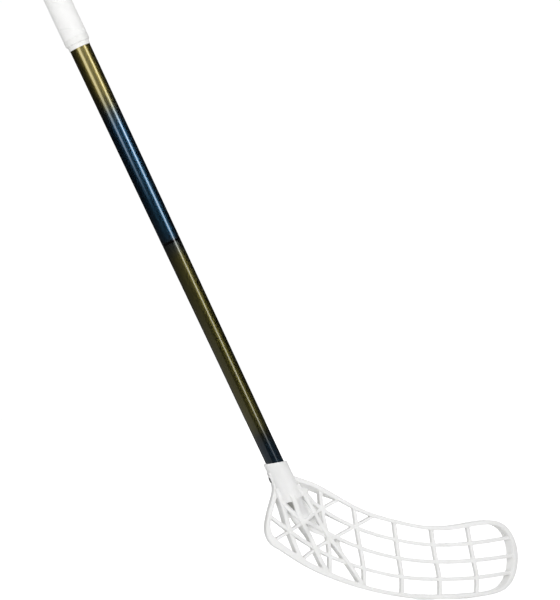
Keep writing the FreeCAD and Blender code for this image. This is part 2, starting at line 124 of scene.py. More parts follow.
# Blade: its face is turned about the upright through the screw, toe to the back. Reaches are in front of
# and behind that face, and roundings are those of a bar's two sides
FACE_TURN = np.radians(16)
FACE_SKEW = np.tan(FACE_TURN)
FACE_ORIGIN = SCREW_LEVEL * UP
FACE_ALONG = np.array([np.cos(FACE_TURN), np.sin(FACE_TURN), 0])
FACE_BACK = np.array([-np.sin(FACE_TURN), np.cos(FACE_TURN), 0])
BLADE_LENGTH = 0.2995
HEEL_REACH = 0.017
SCREW_RISE = 0.1406
HOOK_RADIUS = 0.12
HOOK_SHARE = 0.747
HOOK_START = HOOK_SHARE * BLADE_LENGTH - HEEL_REACH
RIM_REACH = 0.00525
RIM_BACK = 0.0007
RIM_ROUNDINGS = (0.0014, 0.0004)
RIB_REACH = 0.0039
RIB_ROUNDINGS = (0.0006, 0.0006)
RIB_WIDTH = 0.0041
BRACE_WIDTH = 0.0034
FAN_WIDTHS = (0.0046, 0.0046, 0.004)
FAN_FOOT_REACH = 0.0055
FAN_FLARE = 0.0016

# Places on the blade's face: heel (0) to toe (1) along its length, lowest edge (0) to screw level (1)
RIM_OUTER_SHARES = [
    (0.007, 1.016), (0.021, 0.945), (0.026, 0.906), (0.018, 0.804), (-0.001, 0.641), (-0.003, 0.563),
    (0.018, 0.464), (0.049, 0.418), (0.127, 0.312), (0.281, 0.158), (0.435, 0.06), (0.669, 0),
    (0.825, 0.015), (0.888, 0.031), (0.957, 0.091), (0.998, 0.281), (0.97, 0.493), (0.902, 0.605),
    (0.862, 0.616), (0.728, 0.586), (0.649, 0.577), (0.513, 0.627), (0.358, 0.733), (0.169, 0.946),
    (0.1, 0.995)]
RIM_INNER_SHARES = [
    (0.024, 1.02), (0.036, 0.95), (0.039, 0.905), (0.033, 0.804), (0.018, 0.687), (0.013, 0.609),
    (0.024, 0.531), (0.052, 0.475), (0.127, 0.363), (0.281, 0.201), (0.435, 0.092), (0.669, 0.034),
    (0.825, 0.044), (0.897, 0.059), (0.929, 0.087), (0.971, 0.205), (0.974, 0.365), (0.948, 0.496),
    (0.897, 0.572), (0.842, 0.584), (0.728, 0.552), (0.669, 0.546), (0.513, 0.599), (0.358, 0.703),
    (0.169, 0.911), (0.09, 0.962)]
LONG_RIB_SHARES = [
    [(0.109, 0.922), (0.215, 0.734), (0.34, 0.588), (0.499, 0.479), (0.67, 0.429), (0.797, 0.437),
     (0.97, 0.47)],
    [(0.067, 0.787), (0.138, 0.6585), (0.153, 0.6435), (0.22, 0.5665), (0.251, 0.5305), (0.367, 0.4185),
     (0.514, 0.332), (0.67, 0.295), (0.809, 0.3), (0.984, 0.323)],
    [(0.014, 0.687), (0.094, 0.563), (0.193, 0.42), (0.378, 0.257), (0.526, 0.183), (0.674, 0.157),
     (0.818, 0.163), (0.975, 0.189)]]
CROSS_RIB_SHARES = [
    [(0.209, 0.876), (0.217, 0.727), (0.238, 0.514), (0.246, 0.381), (0.247, 0.216)],
    [(0.34, 0.731), (0.351, 0.581), (0.365, 0.419), (0.378, 0.261), (0.38, 0.116)],
    [(0.495, 0.623), (0.504, 0.477), (0.514, 0.338), (0.526, 0.181), (0.526, 0.046)],
    [(0.64, 0.562), (0.649, 0.431), (0.661, 0.297), (0.674, 0.159), (0.674, 0.023)],
    [(0.782, 0.576), (0.795, 0.436), (0.809, 0.299), (0.822, 0.166), (0.82, 0.031)]]
BRACE_SHARES = [
    [(0.031, 0.487), (0.094, 0.563), (0.182, 0.691), (0.276, 0.796)],
    [(0.14, 0.334), (0.193, 0.418), (0.27, 0.509), (0.417, 0.669)]]
FAN_SHARES = [
    [(0.044, 0.9), (0.067, 0.763), (0.094, 0.567), (0.134, 0.346)],
    [(0.0865, 0.884), (0.1105, 0.806), (0.1245, 0.719), (0.139, 0.649), (0.1515, 0.593),
     (0.1685, 0.527), (0.19, 0.422), (0.238, 0.224)],
    [(0.122, 0.926), (0.15, 0.839), (0.164, 0.789), (0.181, 0.733), (0.199, 0.66), (0.247, 0.498),
     (0.313, 0.315), (0.371, 0.132)]]

# Socket, measured down from the middle of its mouth, with laps where its walls run into each other
COLLAR_RADIUS = 0.0125
COLLAR_LENGTH = 0.0458
COLLAR_LIP = 0.0006
MOUTH_SLANT = np.radians(15.6)
BORE_RADIUS = 0.0097
SLEEVE_RADIUS = 0.0104
SLEEVE_LENGTH = 0.066
SLEEVE_LAP = 0.0012
SOCKET_LENGTH = 0.073
SOCKET_TIP_RADIUS = 0.0088
TIP_LAP = 0.0013

# Window in the front of the sleeve: drops below the mouth, and angles of its edges at top and foot
WINDOW_TOP = 0.0468
WINDOW_FOOT = 0.0595
WINDOW_RIGHT = (-92, -99)
WINDOW_LEFT = (231, 259)

# Boss round the screw, measured out from the shaft's axis, with a seat for the screw's head
BOSS_RADIUS = 0.005
BOSS_ROOT = 0.0105
BOSS_REACH = 0.0138
BOSS_LIP = 0.0008
HEAD_SEAT_RADIUS = 0.0036
HEAD_SEAT_DEPTH = 0.0023

# Steps of the surfaces: along lines, round turns and corners, and down and over a panel
LINE_STEPS = 90
RIM_STEPS = 4 * LINE_STEPS
RIM_SEARCH_STEPS = 10 * RIM_STEPS
SHAFT_STEPS = 3 * LINE_STEPS
TURN_STEPS = 128
CORNER_STEPS = 5
PANEL_STEPS = (20, 15)
SETTLING_ROUNDS = 4
MERGE_DISTANCE = 1e-6
SLIVER = 1e-7

# Skin of the blade, and what its easing takes off each side of the rim
VOXEL = 0.0004
EASE_SHARE = 0.5
EASE_ROUNDS = 4
EVENING = 0.00025
BLADE_TRIANGLES = 190000


def smooth_line(points, count):
    """A natural cubic through the points, run by chord length, read at even steps of that run."""
    points = np.asarray(points, float)
    run = np.concatenate([[0], np.cumsum(np.linalg.norm(np.diff(points, axis=0), axis=1))])
    gap = np.diff(run)
    slope = np.diff(points, axis=0) / gap[:, None]
    inner = np.arange(1, len(points) - 1)
    system = np.eye(len(points))
    system[inner, inner - 1] = gap[:-1]
    system[inner, inner] = 2 * (gap[:-1] + gap[1:])
    system[inner, inner + 1] = gap[1:]
    right = np.zeros_like(points)
    right[inner] = 6 * (slope[1:] - slope[:-1])
    bend = np.linalg.solve(system, right)
    at = np.linspace(0, run[-1], count)
    k = np.clip(np.searchsorted(run, at, side="right") - 1, 0, len(gap) - 1)
    width = gap[k][:, None]
    past = (at - run[k])[:, None]
    rest = width - past
    curved = (bend[k] * rest ** 3 + bend[k + 1] * past ** 3) / (6 * width)
    low = points[k] / width - bend[k] * width / 6
    high = points[k + 1] / width - bend[k + 1] * width / 6
    return curved + low * rest + high * past


def face_places(shares):
    """Places on the flat face, along and up from the screw, from their shares."""
    shares = np.asarray(shares, float)
    return shares * [BLADE_LENGTH, SCREW_RISE] - [HEEL_REACH, SCREW_RISE]


def on_face(along, up, front, square=False):
    """The point that lies a distance in front of the face: flat, then bent round an arc at the toe.

    Square walls stand along the bent face's normal, the others run straight from front to back.
    """
    lean = np.arcsin(np.clip((along - HOOK_START) / HOOK_RADIUS, 0, 1))
    depth = front * (np.cos(lean) if square else 1)
    back = HOOK_RADIUS * (1 - np.cos(lean)) - depth
    along = along + (front * np.sin(lean) if square else 0)
    parts = zip((along, back, up), (FACE_ALONG, FACE_BACK, UPRIGHT))
    return FACE_ORIGIN + sum(amount[..., None] * axis for amount, axis in parts)


def on_shaft(radius, angle, height):
    """The point at a radius and angle round the shaft's axis, from the toe side towards the back."""
    out = np.cos(angle)[..., None] * ACROSS + np.sin(angle)[..., None] * BACK
    return np.asarray(height)[..., None] * UP + np.asarray(radius)[..., None] * out


def grid_faces(rows, columns, wrap_rows=False, wrap_columns=True):
    """Four-sided faces between neighbouring points of a grid that is numbered row by row."""
    row = np.arange(rows if wrap_rows else rows - 1)[:, None]
    column = np.arange(columns if wrap_columns else columns - 1)[None, :]
    next_row = (row + 1) % rows
    next_column = (column + 1) % columns
    corners = [row * columns + column, row * columns + next_column,
               next_row * columns + next_column, next_row * columns + column]
    return np.stack(np.broadcast_arrays(*corners), axis=-1).reshape(-1, 4)


def tube(loops):
    """A closed shell through a row of closed loops, with a flat end on its first and last loop.

    A shell is its points and a list of arrays of faces, each for faces with one number of corners.
    """
    rows, columns, _ = loops.shape
    corner = np.arange(columns)
    ends = np.stack([corner[::-1], corner + (rows - 1) * columns])
    return loops.reshape(-1, 3), [grid_faces(rows, columns), ends]


def ring(loops):
    """A closed shell through a row of closed loops, the last joined to the first."""
    rows, columns, _ = loops.shape
    return loops.reshape(-1, 3), [grid_faces(rows, columns, wrap_rows=True)]


def joined(shells):
    """Several shells as one: each one's faces count on from the points of those before it."""
    points = np.concatenate([shell[0] for shell in shells])
    starts = np.cumsum([0] + [len(shell[0]) for shell in shells[:-1]])
    faces = [start + part for start, shell in zip(starts, shells) for part in shell[1]]
    return points, faces


def new_piece(name, shell):
    """An object for a shell, with doubled points merged, faces outwards and smooth shading."""
    points, faces = shell
    mesh = bpy.data.meshes.new(name)
    mesh.from_pydata(points.tolist(), [], [face for part in faces for face in part.tolist()])
    work = bmesh.new()
    work.from_mesh(mesh)
    bmesh.ops.remove_doubles(work, verts=work.verts, dist=MERGE_DISTANCE)
    bmesh.ops.dissolve_degenerate(work, edges=work.edges, dist=SLIVER)
    bmesh.ops.recalc_face_normals(work, faces=work.faces)
    work.to_mesh(mesh)
    work.free()
    mesh.polygons.foreach_set("use_smooth", np.ones(len(mesh.polygons), bool))
    piece = bpy.data.objects.new(name, mesh)
    bpy.context.scene.collection.objects.link(piece)
    return piece


def dress(piece, node, material):
    """Put a piece in the place of a CAD node: on the one body, with its finish."""
    piece.data.materials.clear()
    piece.data.materials.append(material)
    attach(piece, "root")
    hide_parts(node)


def arc(centre, radius, start, stop):
    """Points of a circle about a centre, from one angle in degrees to another."""
    angle = np.radians(np.linspace(start, stop, CORNER_STEPS + 1))
    return np.asarray(centre) + radius * np.stack([np.cos(angle), np.sin(angle)], axis=1)


def round_angles(count=TURN_STEPS):
    """A row of even angles once round."""
    return np.linspace(0, 2 * np.pi, count, endpoint=False)[None, :]


def turned(profile):
    """A closed outline of radius and height, spun about the shaft's axis."""
    profile = np.concatenate([np.atleast_2d(stretch) for stretch in profile])
    return ring(on_shaft(profile[:, :1], round_angles(), profile[:, 1:]))


def rounded_section(width, depth, roundings):
    """A bar's section: a box drawn in by the rounding of each side, plus a circle of that radius."""
    count = 4 * CORNER_STEPS
    angle = (np.arange(count) + 0.5) * 2 * np.pi / count
    rounding = np.where(np.cos(angle) > 0, roundings[0], roundings[1])
    across = np.sign(np.cos(angle)) * (width[:, None] / 2 - rounding) + rounding * np.cos(angle)
    through = np.sign(np.sin(angle)) * (depth[:, None] / 2 - rounding) + rounding * np.sin(angle)
    return across, through


def bar(one_side, other_side, front, behind, roundings, square=False, droop=0, flare=0):
    """A rounded bar between two lines on the face, with its reach in front of and behind the face.

    It sinks from its front edge to its back by the droop times the depth, and each of its sides spreads
    by the flare.
    """
    middle = (one_side + other_side) / 2
    over = one_side - other_side
    width = np.linalg.norm(over, axis=1)
    over = over / width[:, None]
    across, through = rounded_section(width, front + behind, roundings)
    through = through + ((front - behind) / 2)[:, None]
    depth = front[:, None] - through
    across = across + np.sign(across) * flare * depth / (front + behind)[:, None]
    sink = (droop + 0 * front)[:, None] * depth
    along = middle[:, :1] + over[:, :1] * across
    up = middle[:, 1:] + over[:, 1:] * across - sink
    return tube(on_face(along, up, through, square))


def strip_sides(line, width):
    """The two sides of a strip of one width along a line on the face."""
    run = np.gradient(line, axis=0)
    over = np.stack([-run[:, 1], run[:, 0]], axis=1) / np.linalg.norm(run, axis=1)[:, None]
    return line + over * width / 2, line - over * width / 2


# Ribs swell forwards over the socket, reach further back round it, and droop towards their back there
SOCKET_RUN = np.array([-UP @ FACE_ALONG, -UP @ UPRIGHT])
SOCKET_RUN = SOCKET_RUN / np.linalg.norm(SOCKET_RUN)
SWELL_START = 0.0096
SWELL_END = 0.0546
SWELL_RAMP = 0.02
SWELL_FLOOR = 0.55
SWELL_GAIN = 0.45
FRONT_SWELL = 0.0136
FRONT_SPREAD = 0.015
BACK_SWELL = 0.006
BACK_SPREAD = 0.034
RIB_DROOP = 0.36
DROOP_START = 0.016


def rib_reach(places):
    """Reach of the ribs in front and behind, and their droop: bells round the socket's axis.

    The distance is that to the stretch of the axis below the screw. The front bell rises down it.
    """
    down = np.clip(places @ SOCKET_RUN, SWELL_START, SWELL_END)
    away = np.linalg.norm(places - down[:, None] * SOCKET_RUN, axis=1)
    ramp = np.clip((down - SWELL_START) / SWELL_RAMP, 0, 1)
    rise = SWELL_FLOOR + SWELL_GAIN * ramp ** 2 * (3 - 2 * ramp)
    wide = np.exp(-(away / BACK_SPREAD) ** 2)
    front = RIB_REACH + FRONT_SWELL * rise * np.exp(-(away / FRONT_SPREAD) ** 2)
    toe_side = places @ [-SOCKET_RUN[1], SOCKET_RUN[0]]
    droop = RIB_DROOP * wide * np.clip(toe_side / DROOP_START, 0, 1)
    return front, RIB_REACH + BACK_SWELL * wide, droop


def rib_line(shares):
    """A rib's line on the face, moved so that its front edge shows where the places say.

    The tables give places as they look from straight in front, so a front edge that stands out from
    the turned face moves back along it by its reach times the tangent of the turn.
    """
    seen = smooth_line(face_places(shares), LINE_STEPS)
    line = seen
    for _ in range(SETTLING_ROUNDS):
        line = np.stack([seen[:, 0] - rib_reach(line)[0] * FACE_SKEW, seen[:, 1]], axis=1)
    return line


def rim_shell():
    """The rim: a rounded bar between its outer line and, at each point, the nearest of its inner line."""
    outer = smooth_line(face_places(RIM_OUTER_SHARES), RIM_STEPS)
    inner = smooth_line(face_places(RIM_INNER_SHARES), RIM_SEARCH_STEPS)
    away = np.linalg.norm(outer[:, None, :] - inner[None, :, :], axis=2)
    inner = inner[np.argmin(away, axis=1)]
    over = (outer - inner) / np.linalg.norm(outer - inner, axis=1)[:, None]
    reach = np.full(len(outer), RIM_REACH)
    return bar(outer + EVENING * over, inner - EVENING * over, reach, reach + RIM_BACK, RIM_ROUNDINGS,
               square=True)


def rib_shells():
    """The long and cross ribs, deeper near the socket, and the braces, of one depth: rounded bars."""
    shells = []
    for shares in LONG_RIB_SHARES + CROSS_RIB_SHARES:
        line = rib_line(shares)
        front, behind, droop = rib_reach(line)
        shells.append(bar(*strip_sides(line, RIB_WIDTH), front, behind, RIB_ROUNDINGS, droop=droop))
    for shares in BRACE_SHARES:
        line = rib_line(shares)
        front = rib_reach(line)[0]
        shells.append(bar(*strip_sides(line, BRACE_WIDTH), front, 2 * RIB_REACH - front, RIB_ROUNDINGS))
    return shells


def fan_lines():
    """The fan ribs' lines on the face with their reach in front."""
    lines = [rib_line(shares) for shares in FAN_SHARES]
    return [(line, np.maximum(rib_reach(line)[0], FAN_FOOT_REACH)) for line in lines]


def fan_shells():
    """The fan of deep ribs that carries the socket's load into the lower rim."""
    shells = []
    for (line, front), width in zip(fan_lines(), FAN_WIDTHS):
        sides = strip_sides(line, width)
        shells.append(bar(*sides, front, FAN_FOOT_REACH, RIB_ROUNDINGS, flare=FAN_FLARE))
    return shells


# Webs between two fan ribs: their numbers, the share of each that it runs down, its sinks at top and foot
PANELS = [
    (0, 1, 0.2, 0.14, 0.0008, 0.0008),
    (1, 2, 0.14, 0.1, 0.0008, 0.0008),
    (1, 2, 0.36, 0.28, 0.013, 0.0008),
    (1, 2, 0.37, 0.46, 0.015, 0.0055)]
PANEL_THICKNESS = 0.004


def panel_shell(left, right, left_share, right_share, top_sink, foot_sink):
    """A web ruled between the front edges of two fan ribs, from their top to a share of each length.

    It lies behind those edges by one sink at its top, and by the other at its foot.
    """
    (left_line, left_front), (right_line, right_front) = left, right
    down = np.linspace(0, 1, PANEL_STEPS[0])[:, None]
    over = np.linspace(0, 1, PANEL_STEPS[1])[None, :]
    share = down * (left_share + (right_share - left_share) * over)
    step = share * (LINE_STEPS - 1)
    steps = np.arange(LINE_STEPS)

    def between(left_values, right_values):
        """A value of the two ribs at each place, mixed from rib to rib."""
        left_part = (1 - over) * np.interp(step, steps, left_values)
        return left_part + over * np.interp(step, steps, right_values)

    along = between(left_line[:, 0], right_line[:, 0])
    up = between(left_line[:, 1], right_line[:, 1])
    front = between(left_front, right_front) - top_sink - (foot_sink - top_sink) * down
    near = on_face(along, up, front)
    far = on_face(along, up, front - PANEL_THICKNESS)
    return tube(np.concatenate([near, far[:, ::-1]], axis=1))


# Gusset under the upper rim, from the socket to the first brace
GUSSET_SHARES = [(0.1, 0.955), (0.169, 0.915), (0.22, 0.853), (0.29, 0.779)]
GUSSET_DROP = np.array([0.009, 0.0062, 0.0035, 0.0])
GUSSET_TUCK = 0.002
GUSSET_EDGE = 0.001


def gusset_shell():
    """The web that stiffens the upper rim: a wedge from its front edge down to a lower back edge."""
    line = smooth_line(face_places(GUSSET_SHARES), LINE_STEPS)
    drop = smooth_line(np.stack([GUSSET_DROP, GUSSET_DROP], axis=1), LINE_STEPS)[:, :1]
    run = np.gradient(line, axis=0)
    down = np.stack([run[:, 1], -run[:, 0]], axis=1) / np.linalg.norm(run, axis=1)[:, None]
    top = line - GUSSET_TUCK * down
    foot = line + drop * down
    front = RIM_REACH - RIM_ROUNDINGS[1]
    rows = [(top, front), (line, front), (foot, GUSSET_EDGE - RIM_REACH), (foot, -RIM_REACH),
            (top, -RIM_REACH)]
    loops = [on_face(place[:, 0], place[:, 1], depth) for place, depth in rows]
    return tube(np.stack(loops, axis=1))


# Small webs in the corners between ribs beside the socket: outlines as they show from in front, and the
# reach of each corner in front of the face
CORNER_WEBS = [
    ([(0.112, 0.945), (0.161, 0.893), (0.164, 0.85), (0.182, 0.808), (0.169, 0.786), (0.146, 0.86)],
     [0.0, -0.0015, -0.002, -0.003, -0.003, -0.002]),
    ([(0.146, 0.86), (0.182, 0.808), (0.208, 0.732), (0.185, 0.722), (0.165, 0.78)],
     [0.001, 0.001, 0.001, 0.001, 0.001]),
    ([(0.196, 0.708), (0.2135, 0.714), (0.2145, 0.632)],
     [0.001, 0.001, 0.001]),
    ([(0.254, 0.518), (0.2791, 0.4899), (0.3019, 0.3514), (0.28, 0.43)],
     [-0.002, -0.002, -0.002, -0.002])]
CORNER_THICKNESS = 0.003


def corner_shell(shares, fronts):
    """A corner web: a plate with a straight-sided outline, which leans as its corners' reaches say."""
    place = face_places(shares)
    depth = fronts - np.array([0, CORNER_THICKNESS])[:, None]
    along = place[:, 0] - np.array(fronts) * FACE_SKEW
    return tube(on_face(along, place[:, 1], depth))


# Sloping web under the second long rib, between the fan ribs: its upper and lower edge as they show from
# in front, and the share of the rib's reach at which each lies
WEB_UPPER_SHARES = [(0.0773, 0.765), (0.0922, 0.735), (0.1113, 0.7), (0.1293, 0.666), (0.145, 0.645),
                    (0.172, 0.612), (0.1877, 0.594), (0.21, 0.569), (0.2333, 0.543)]
WEB_LOWER_SHARES = [(0.0773, 0.687), (0.0922, 0.664), (0.1113, 0.6535), (0.1293, 0.639), (0.15, 0.618),
                    (0.172, 0.557), (0.1877, 0.538), (0.21, 0.522), (0.2333, 0.494)]
WEB_REACH_SHARES = (0.32, 0.5)
WEB_THICKNESS = 0.003


def sloped_web_shell():
    """The sloping web: a wedge from deep on the rib's wall to a lower edge that stands further out."""
    upper = smooth_line(face_places(WEB_UPPER_SHARES), LINE_STEPS)
    lower = smooth_line(face_places(WEB_LOWER_SHARES), LINE_STEPS)
    front = rib_reach(rib_line(WEB_UPPER_SHARES))[0]
    deep, near = [share * front for share in WEB_REACH_SHARES]
    far = deep - WEB_THICKNESS
    rows = [(upper, deep), (lower, near), (lower, far), (upper, far)]
    loops = [on_face(place[:, 0] - depth * FACE_SKEW, place[:, 1], depth) for place, depth in rows]
    return tube(np.stack(loops, axis=1))


def socket_shells():
    """The socket: a thick collar with a slanted mouth, a thinner sleeve with a window, a closed tip."""
    lip = COLLAR_LIP
    angle = round_angles()
    profile = np.concatenate([
        arc((COLLAR_RADIUS - lip, lip), lip, -90, 0),
        arc((COLLAR_RADIUS - lip, COLLAR_LENGTH - lip), lip, 0, 90),
        [(BORE_RADIUS, COLLAR_LENGTH)],
        arc((BORE_RADIUS + lip, lip), lip, 180, 270)])
    radius, drop = profile[:, :1], profile[:, 1:]
    slant = np.tan(MOUTH_SLANT) * radius * np.cos(angle) * np.clip(1 - drop / COLLAR_LENGTH, 0, 1)
    collar = ring(on_shaft(radius, angle, MOUTH - drop - slant))

    drop = np.linspace(COLLAR_LENGTH - SLEEVE_LAP, SLEEVE_LENGTH, LINE_STEPS)[:, None]
    closing = np.clip((drop - WINDOW_TOP) / (WINDOW_FOOT - WINDOW_TOP), 0, 1)
    right_edge = np.radians(WINDOW_RIGHT[0] + (WINDOW_RIGHT[1] - WINDOW_RIGHT[0]) * closing)
    left_edge = np.radians(WINDOW_LEFT[0] + (WINDOW_LEFT[1] - WINDOW_LEFT[0]) * closing)
    wall_angle = right_edge + (left_edge - right_edge) * np.linspace(0, 1, TURN_STEPS)[None, :]
    outside = on_shaft(SLEEVE_RADIUS, wall_angle, MOUTH - drop)
    inside = on_shaft(BORE_RADIUS, wall_angle, MOUTH - drop)
    sleeve = tube(np.concatenate([outside, inside[:, ::-1]], axis=1))

    profile = np.array([(SLEEVE_RADIUS, SLEEVE_LENGTH - TIP_LAP), (SLEEVE_RADIUS, SLEEVE_LENGTH),
                        (SOCKET_TIP_RADIUS, SOCKET_LENGTH)])
    tip = tube(on_shaft(profile[:, :1], angle, MOUTH - profile[:, 1:]))
    return [collar, sleeve, tip]


def boss_shell():
    """The boss round the screw: a short rounded bar out of the collar on the heel side."""
    out = -(np.cos(FACE_TURN) * ACROSS + np.sin(FACE_TURN) * BACK)
    side = np.cross(UP, out)
    angle = round_angles(TURN_STEPS // 2)[..., None]
    lip = BOSS_LIP
    seat = BOSS_REACH - HEAD_SEAT_DEPTH
    profile = np.concatenate([
        [(BOSS_RADIUS, BOSS_ROOT)],
        arc((BOSS_RADIUS - lip, BOSS_REACH - lip), lip, 0, 90),
        arc((HEAD_SEAT_RADIUS + lip / 2, BOSS_REACH - lip / 2), lip / 2, 90, 180),
        [(HEAD_SEAT_RADIUS, seat), (0.0, seat)]])
    radius, reach = profile[:, 0, None, None], profile[:, 1, None, None]
    return tube(FACE_ORIGIN + reach * out + radius * (np.cos(angle) * UP + np.sin(angle) * side))


def settle(piece):
    """Make what a piece's modifiers give its own mesh, smoothly shaded."""
    mesh = bpy.data.meshes.new_from_object(piece.evaluated_get(bpy.context.evaluated_depsgraph_get()))
    piece.modifiers.clear()
    piece.data = mesh
    mesh.polygons.foreach_set("use_smooth", np.ones(len(mesh.polygons), bool))


def drop_bubbles(piece):
    """Delete all but a piece's largest island: the skin also closes round small hollows between walls.

    Each point takes the lowest number at the other ends of its edges, and then what that number's point
    has, until nothing changes. All points of an island then have the same number.
    """
    mesh = piece.data
    ends = np.empty(2 * len(mesh.edges), np.int32)
    mesh.edges.foreach_get("vertices", ends)
    reached = np.arange(len(mesh.vertices))
    lowest = None
    while not np.array_equal(reached, lowest):
        lowest = reached
        low = np.repeat(lowest[ends].reshape(-1, 2).min(axis=1), 2)
        reached = lowest.copy()
        np.minimum.at(reached, ends, low)
        np.minimum.at(reached, lowest[ends], low)
        reached = reached[reached]
    stray = np.flatnonzero(lowest != np.bincount(lowest).argmax())
    work = bmesh.new()
    work.from_mesh(mesh)
    work.verts.ensure_lookup_table()
    bmesh.ops.delete(work, geom=[work.verts[number] for number in stray], context="VERTS")
    work.to_mesh(mesh)
    work.free()


def make_blade():
    """The blade moulding: all its bars and walls run together, then evened into one skin."""
    fans = fan_lines()
    shells = [rim_shell(), gusset_shell(), boss_shell()] + rib_shells() + fan_shells() + socket_shells()
    shells += [panel_shell(fans[left], fans[right], *measures) for left, right, *measures in PANELS]
    shells += [corner_shell(shares, fronts) for shares, fronts in CORNER_WEBS]
    shells.append(sloped_web_shell())
    piece = new_piece("blade_moulding", joined(shells))
    skin = piece.modifiers.new("skin", "REMESH")
    skin.mode = "VOXEL"
    skin.voxel_size = VOXEL
    ease = piece.modifiers.new("ease", "SMOOTH")
    ease.factor = EASE_SHARE
    ease.iterations = EASE_ROUNDS
    settle(piece)
    thin = piece.modifiers.new("thin", "DECIMATE")
    thin.ratio = BLADE_TRIANGLES / (2 * len(piece.data.polygons))
    settle(piece)
    drop_bubbles(piece)
    return piece


def make_shaft():
    """The tube: its radius runs straight between the neck, the waist and the butt, with a bore."""
    height = np.linspace(SHAFT_FOOT, BAND_TOP, SHAFT_STEPS)
    radius = np.interp(height, [MOUTH, WAIST, TAPE_FOOT], [NECK_RADIUS, WAIST_RADIUS, BUTT_RADIUS])
    outside = np.stack([radius, height], axis=1)
    inside = np.stack([radius - SHAFT_WALL, height], axis=1)[::-1]
    return new_piece("shaft_lacquered", turned([outside, inside]))


# Rows of points across each turn of the band: close together over its rounded lower edge, then even
LAP_ROWS = 0.04 * np.linspace(0, 1, 9) ** 2
BAND_ROWS = np.concatenate([LAP_ROWS, np.linspace(0.06, 0.96, 16), [0.99]])
ROW_NUDGE = 1e-7


def make_grip():
    """The wound band: its radius depends on the place across the band, on a left-handed helix.

    The place across is the height over the pitch plus the share of a turn, less its whole part. From
    each turn's lower edge, which lies on top with a rounded step, the outside sinks to the upper edge,
    which the next turn covers. The rows follow the helix and stop at the flat ends of the band. Under
    the finishing tape the band thins towards its foot.
    """
    turns = np.arange(-1, np.ceil((BAND_TOP - BAND_FOOT) / BAND_PITCH) + 1)
    climb = (turns[:, None] + BAND_ROWS[None, :]).reshape(-1, 1)
    angle = np.linspace(0, 2 * np.pi, TURN_STEPS + 1)[None, :]
    height = BAND_FOOT + BAND_LEAD + BAND_PITCH * (climb - angle / (2 * np.pi))
    height = np.clip(height, BAND_FOOT, BAND_TOP)
    place = ((height - BAND_FOOT - BAND_LEAD) / BAND_PITCH + angle / (2 * np.pi) + ROW_NUDGE) % 1
    edge = np.clip(place * BAND_PITCH / LAP_ROUNDING, 0, 1)
    radius = BAND_RADIUS - LAP_STEP * place - LAP_STEP * (1 - np.sqrt(1 - (1 - edge) ** 2))
    swells = 1 + np.sin(BAND_LOBES * angle + 2 * np.pi * height / BAND_PITCH)
    radius = radius - BAND_SWELL * swells
    ending = np.clip((height - BAND_FOOT) / TAPE_COVER, 0, 1)
    radius = radius - (BAND_RADIUS - TAPE_RADIUS + TAPE_THICKNESS) * (1 - ending)
    bore = np.full((1, TURN_STEPS + 1), BAND_BORE)
    radius = np.concatenate([bore, radius, bore])
    height = np.concatenate([0 * bore + BAND_FOOT, height, 0 * bore + BAND_TOP])
    points = on_shaft(radius, angle, height)
    faces = grid_faces(*radius.shape, wrap_rows=True, wrap_columns=False)
    return new_piece("grip_wound_band", (points.reshape(-1, 3), [faces]))


def make_tape():
    """The finishing tape: a thin sleeve on the shaft that climbs over the band's end and thins out."""
    step = BAND_FOOT - TAPE_STEP
    skirt = BAND_BORE + TAPE_THICKNESS
    top = BAND_FOOT + TAPE_COVER
    bend = TAPE_BEND
    return new_piece("finishing_tape_sleeve", turned([
        (BAND_BORE, TAPE_FOOT),
        arc((skirt - TAPE_EDGE_INSET, TAPE_FOOT + TAPE_EDGE), TAPE_EDGE, -90, 0),
        arc((skirt + TAPE_FILLET, step - TAPE_FILLET), TAPE_FILLET, 180, 90),
        arc((TAPE_RADIUS - bend, step + bend), bend, -90, 0),
        (BAND_RADIUS - TAPE_TOP_SINKS[0], top - TAPE_EDGE),
        (BAND_RADIUS - TAPE_TOP_SINKS[1], top),
        (TAPE_RADIUS - TAPE_THICKNESS, step + bend),
        (BAND_BORE, step + TAPE_THICKNESS)]))


def make_cap():
    """The butt cap: a hollow plug under a rounded flange with a shallow round groove in its top."""
    seat = BAND_TOP + FIT_GAP
    top = seat + CAP_FLANGE
    rim = CAP_RADIUS - CAP_ROUNDING
    plug_foot = seat - CAP_PLUG_LENGTH
    plug_bore = CAP_PLUG_RADIUS - CAP_PLUG_WALL
    groove_floor = top - CAP_GROOVE_DEPTH
    return new_piece("butt_cap_moulding", turned([
        (plug_bore, plug_foot),
        (CAP_PLUG_RADIUS - CAP_PLUG_CHAMFER[0], plug_foot),
        (CAP_PLUG_RADIUS, plug_foot + CAP_PLUG_CHAMFER[1]),
        (CAP_PLUG_RADIUS, seat),
        arc((CAP_RADIUS - CAP_LIP, seat + CAP_LIP), CAP_LIP, -90, 0),
        arc((rim, top - CAP_ROUNDING), CAP_ROUNDING, 0, 90),
        (rim - CAP_GROOVE[0], top),
        (rim - CAP_GROOVE[1], groove_floor),
        (rim - CAP_GROOVE[2], groove_floor),
        (rim - CAP_GROOVE[3], top),
        (0.0, top),
        (0.0, seat),
        (plug_bore, seat)]))


def node(tree, kind, **settings):
    """A shader node with its settings: properties by name, sockets by their label."""
    made = tree.nodes.new(kind)
    for name, value in settings.items():
        if hasattr(made, name):
            setattr(made, name, value)
        else:
            made.inputs[name.replace("_", " ")].default_value = value
    return made


def new_group(name, inputs, outputs):
    """An empty shader group with named number sockets, and its two end nodes."""
    group = bpy.data.node_groups.new(name, "ShaderNodeTree")
    for label, value in inputs.items():
        socket = group.interface.new_socket(label, in_out="INPUT", socket_type="NodeSocketFloat")
        socket.default_value = value
    for label in outputs:
        group.interface.new_socket(label, in_out="OUTPUT", socket_type="NodeSocketFloat")
    return group, group.nodes.new("NodeGroupInput"), group.nodes.new("NodeGroupOutput")


